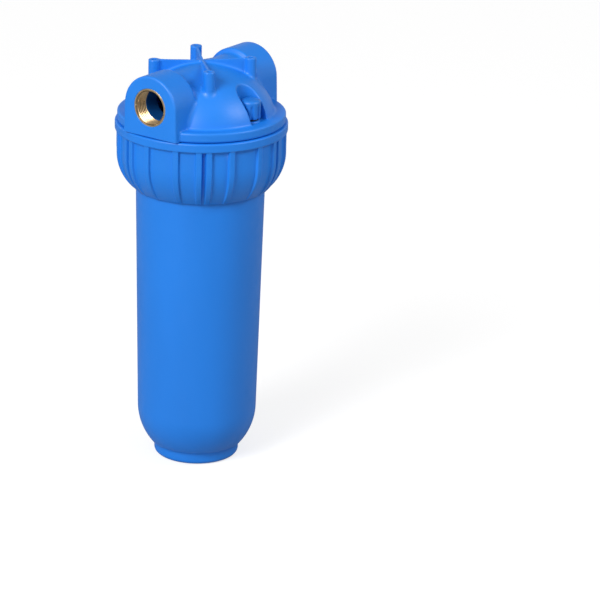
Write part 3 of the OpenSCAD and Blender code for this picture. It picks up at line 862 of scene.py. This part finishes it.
def vent_knob(angles):
    top = SCREW_HIGH[2]
    straight = top - KNOB_CAP - KNOB_Z
    profile = [(0, KNOB_Z), (KNOB_R - 1, KNOB_Z)] + arc(KNOB_R - 0.5, KNOB_Z + 0.5, 0.5, -90, 0, 4)
    profile += [(KNOB_R, KNOB_Z + straight * k / 8) for k in range(1, 8)]
    profile += arc(KNOB_R - KNOB_CAP, top - KNOB_CAP, KNOB_CAP, 0, 78, 10) + [(0, top)]
    profile = np.array(profile)
    wave = np.clip(np.cos(angles * FLUTES) * 1.5 - 0.25, 0, 1)[:, None]
    reach = np.clip((KNOB_Z + FLUTE_TOP * (top - KNOB_Z) - profile[:, 1]) / 1.2, 0, 1)
    rim = profile[:, 0] > KNOB_R - 1
    radius = profile[:, 0] - FLUTE_DEPTH * wave * reach * rim
    return wrapped("vent_knob", round_grid(radius, profile[:, 1], angles))


def vent_shank(angles):
    """The threaded shank, with a plain stub that runs up into the knob."""
    per_pitch, stub = 12, 3
    length = KNOB_Z - 2 - SCREW_LOW[2]
    steps = np.arange(math.ceil((length / VENT_PITCH + 1) * per_pitch) + 1) / per_pitch
    height = np.clip((steps[None, :] + angles[:, None] / TURN - 1) * VENT_PITCH, 0, length)
    wave = thread_wave(height / VENT_PITCH - angles[:, None] / TURN)
    radius = SHANK_R - VENT_THREAD_DEPTH * (1 - wave)
    radius = np.minimum(radius, SHANK_R - 0.8 + height)
    axis = np.zeros((len(angles), 1))
    stub_r = axis + SHANK_R - 0.5
    shank_r = np.hstack([axis, radius, stub_r, stub_r, axis])
    shank_z = np.hstack([axis, height, axis + length, axis + length + stub, axis + length + stub])
    return shifted(wrapped("shank", round_grid(shank_r, shank_z, angles)), z=SCREW_LOW[2])


def build_vent_screw():
    angles = np.linspace(0, TURN, SEGMENTS + 1)
    knob = boolean(vent_knob(angles), [vent_shank(angles[::2])], "UNION")
    half, inner, outer, length = 0.6, 1.95, 5, 7
    bleed_slot = extruded("slot", [(-half, -outer), (half, -outer), (half, -inner), (-half, -inner)],
                          SCREW_LOW[2] - 1, SCREW_LOW[2] + length)
    boolean(knob, [bleed_slot], "DIFFERENCE")
    finish_piece(shifted(knob, y=VENT_Y), "vent_screw", "knob_plastic", 35)


# ------------------------------------------------------------------ seals and cartridge


def build_o_rings():
    """The vent's round ring and the bowl's squeezed one."""
    low, high = VENT_RING_LOW, VENT_RING_HIGH
    r = (high[2] - low[2]) / 2
    middle = (high[0] - low[0]) / 2 - r
    ring = revolved("vent_seal_ring", arc(middle, low[2] + r, r, 0, 345, 23), 96)
    finish_piece(shifted(ring, y=VENT_Y), "vent_o_ring", "seal_rubber")
    low, high = BOWL_RING_LOW, BOWL_RING_HIGH
    width, corner = 4.0, 1.5
    outer_x, inner_x = high[0] - corner, high[0] - width + corner
    low_z, high_z = low[2] + corner, high[2] - corner
    corners = ((outer_x, low_z, -90), (outer_x, high_z, 0), (inner_x, high_z, 90), (inner_x, low_z, 180))
    outline = []
    for cx, cz, start in corners:
        outline += arc(cx, cz, corner, start, start + 90, 7)
    finish_piece(revolved("bowl_seal_ring", outline, SEGMENTS), "bowl_o_ring", "seal_rubber")


def build_media():
    """The pleated pack, with rounded folds that wander a little on their way up."""
    pleats, thick, samples, levels = 42, 0.45, 16, 25
    outer = MEDIA_HIGH[0] - 0.15
    inner = 16.1
    phase = np.arange(pleats * samples) / samples
    saw = np.abs((phase % 1.0) * 2 - 1)
    fold = 0.5 - 0.5 * np.cos(math.pi * np.clip((saw - 0.5) * 1.12 + 0.5, 0, 1))
    fold = 0.75 * saw + 0.25 * fold
    reach = inner + thick + (outer - inner - 2 * thick) * fold
    angles = phase / pleats * TURN
    points, faces = [], []
    for level in range(levels):
        z = MEDIA_LOW[2] + (MEDIA_HIGH[2] - MEDIA_LOW[2]) * level / (levels - 1)
        lean = 0.01 * np.sin(level * 0.9 + 3 * angles) * math.sin(math.pi * level / (levels - 1))
        middle = np.stack([reach * np.cos(angles + lean), reach * np.sin(angles + lean)], -1)
        along = np.roll(middle, -1, 0) - np.roll(middle, 1, 0)
        normal = np.stack([along[:, 1], -along[:, 0]], -1)
        normal /= np.linalg.norm(normal, axis=1)[:, None]
        for side in (1, -1):
            ring = middle + side * thick / 2 * normal
            points += [(x, y, z) for x, y in ring]
    count = len(angles)
    for level in range(levels - 1):
        for skin in (0, 1):
            a, b = (2 * level + skin) * count, (2 * level + 2 + skin) * count
            faces += [(a + i, a + (i + 1) % count, b + (i + 1) % count, b + i) for i in range(count)]
    for level in (0, levels - 1):
        a, b = 2 * level * count, (2 * level + 1) * count
        faces += [(a + i, a + (i + 1) % count, b + (i + 1) % count, b + i) for i in range(count)]
    finish_piece(new_object("pleated_pack", points, faces), "cartridge_media", "filter_media", 60)


def dress_cad_nodes():
    """The cartridge's rigid pieces and gaskets keep their CAD shape and get their materials."""
    slots = {"cartridge_core": "cartridge_plastic", "cartridge_sleeve": "cartridge_plastic",
             "cartridge_top_cap": "cartridge_plastic", "cartridge_bottom_cap": "cartridge_plastic",
             "cartridge_top_gasket": "seal_rubber", "cartridge_bottom_gasket": "seal_rubber"}
    for node, slot in slots.items():
        obj = frame["nodes"][node]
        if not obj.material_slots:
            obj.data.materials.append(None)
        for place in obj.material_slots:
            place.material = MATERIALS[slot]


# ------------------------------------------------------------------ stage, lights and camera

AIM = Vector((45.59, -64.74, 127.05)) * MM
CAMERA_AT = Vector((-1876.9, -1418.4, 983.4)) * MM
CAMERA_ROLL = math.radians(1.626)
LENS = 193.36
CENTRE_SHIFT = 0.3725 * MM  # the frame's centre lies this far to the left of the aim, and above it
UP = Vector((0, 0, 1))


def build_camera():
    data = bpy.data.cameras.new("camera")
    data.sensor_width = 36
    data.lens = LENS
    data.clip_end = 50
    camera = bpy.data.objects.new("camera", data)
    forward = (AIM - CAMERA_AT).normalized()
    level_right = forward.cross(UP).normalized()
    level_up = level_right.cross(forward)
    right = level_right * math.cos(CAMERA_ROLL) + level_up * math.sin(CAMERA_ROLL)
    up = level_up * math.cos(CAMERA_ROLL) - level_right * math.sin(CAMERA_ROLL)
    forward = (AIM + (up - right) * CENTRE_SHIFT - CAMERA_AT).normalized()
    right = forward.cross(up).normalized()
    up = right.cross(forward)
    turn = Matrix((right, up, -forward)).transposed().to_4x4()
    camera.matrix_world = Matrix.Translation(CAMERA_AT) @ turn
    bpy.context.scene.collection.objects.link(camera)
    bpy.context.scene.camera = camera
    return right


def area_light(name, place, target, size, power):
    """A rectangular light that faces its target. The size is its width and height in metres."""
    data = bpy.data.lights.new(name, "AREA")
    data.shape = "RECTANGLE"
    data.size, data.size_y = size
    data.energy = power
    light = bpy.data.objects.new(name, data)
    turn = (target - place).to_track_quat("-Z", "Y").to_matrix().to_4x4()
    light.matrix_world = Matrix.Translation(place) @ turn
    bpy.context.scene.collection.objects.link(light)


def soft_sun(name, direction, radiance, angle):
    """A wide sun from a direction, given the brightness it gives a white surface that faces it."""
    data = bpy.data.lights.new(name, "SUN")
    data.energy = radiance * math.pi
    data.angle = math.radians(angle)
    light = bpy.data.objects.new(name, data)
    light.matrix_world = direction.to_track_quat("Z", "Y").to_matrix().to_4x4()
    bpy.context.scene.collection.objects.link(light)


def build_floor():
    """A white sheet. Its own glow reaches only itself, so it doesn't light the housing from below."""
    material, _, shader = new_material("studio_floor")
    shader.inputs["Base Color"].default_value = (0.42, 0.42, 0.42, 1)
    shader.inputs["Emission Color"].default_value = (1, 1, 1, 1)
    shader.inputs["Emission Strength"].default_value = 0.70
    shader.inputs["Roughness"].default_value = 0.9
    shader.inputs["Specular IOR Level"].default_value = 0.0
    half = 6.0 / MM
    corners = [(x * half, y * half, -0.2) for x, y in ((-1, -1), (1, -1), (1, 1), (-1, 1))]
    floor = new_object("studio_floor", corners, [(0, 1, 2, 3)])
    floor.data.materials.append(material)
    glow = bpy.data.collections.new("floor_glow")
    glow.objects.link(floor)
    floor.light_linking.receiver_collection = glow


def build_lights(camera_right):
    """A key light from the left, a weak one from above, and a box on each side of the head."""
    toward = Vector((CAMERA_AT.x, CAMERA_AT.y, 0)).normalized()
    left = -camera_right
    soft_sun("key", toward * 0.80 + left * 0.60 + UP * 0.60, 0.54, 30)
    soft_sun("overhead", UP + toward * 0.3, 0.08, 60)
    head = Vector((0, 0, 0.29))
    area_light("left_box", head + toward * 0.60 + left * 0.45 + UP * 0.45, head, (0.3, 0.3), 2.6)
    area_light("right_box", head + toward * 0.22 - left * 0.62 + UP * 0.48, head, (0.25, 0.25), 2.5)


def build_world():
    """A white room that is brighter at the horizon than overhead."""
    world = bpy.data.worlds.new("studio")
    world.use_nodes = True
    tree = world.node_tree
    background = tree.nodes["Background"]
    background.inputs["Color"].default_value = (1, 1, 1, 1)
    coord = add(tree, "ShaderNodeTexCoord")
    parts = add(tree, "ShaderNodeSeparateXYZ", {"Vector": coord.outputs["Generated"]})
    tree.links.new(spread(tree, parts.outputs["Z"], 0.85, 0.25, 0.0, 0.5), background.inputs["Strength"])
    bpy.context.scene.world = world


bpy.context.scene.view_settings.view_transform = "Standard"
build_floor()
build_lights(build_camera())
build_world()
build_head()
build_insert("inlet_insert", -1)
build_insert("outlet_insert", 1)
build_ring_nut()
build_bowl()
build_vent_screw()
build_o_rings()
build_media()
dress_cad_nodes()
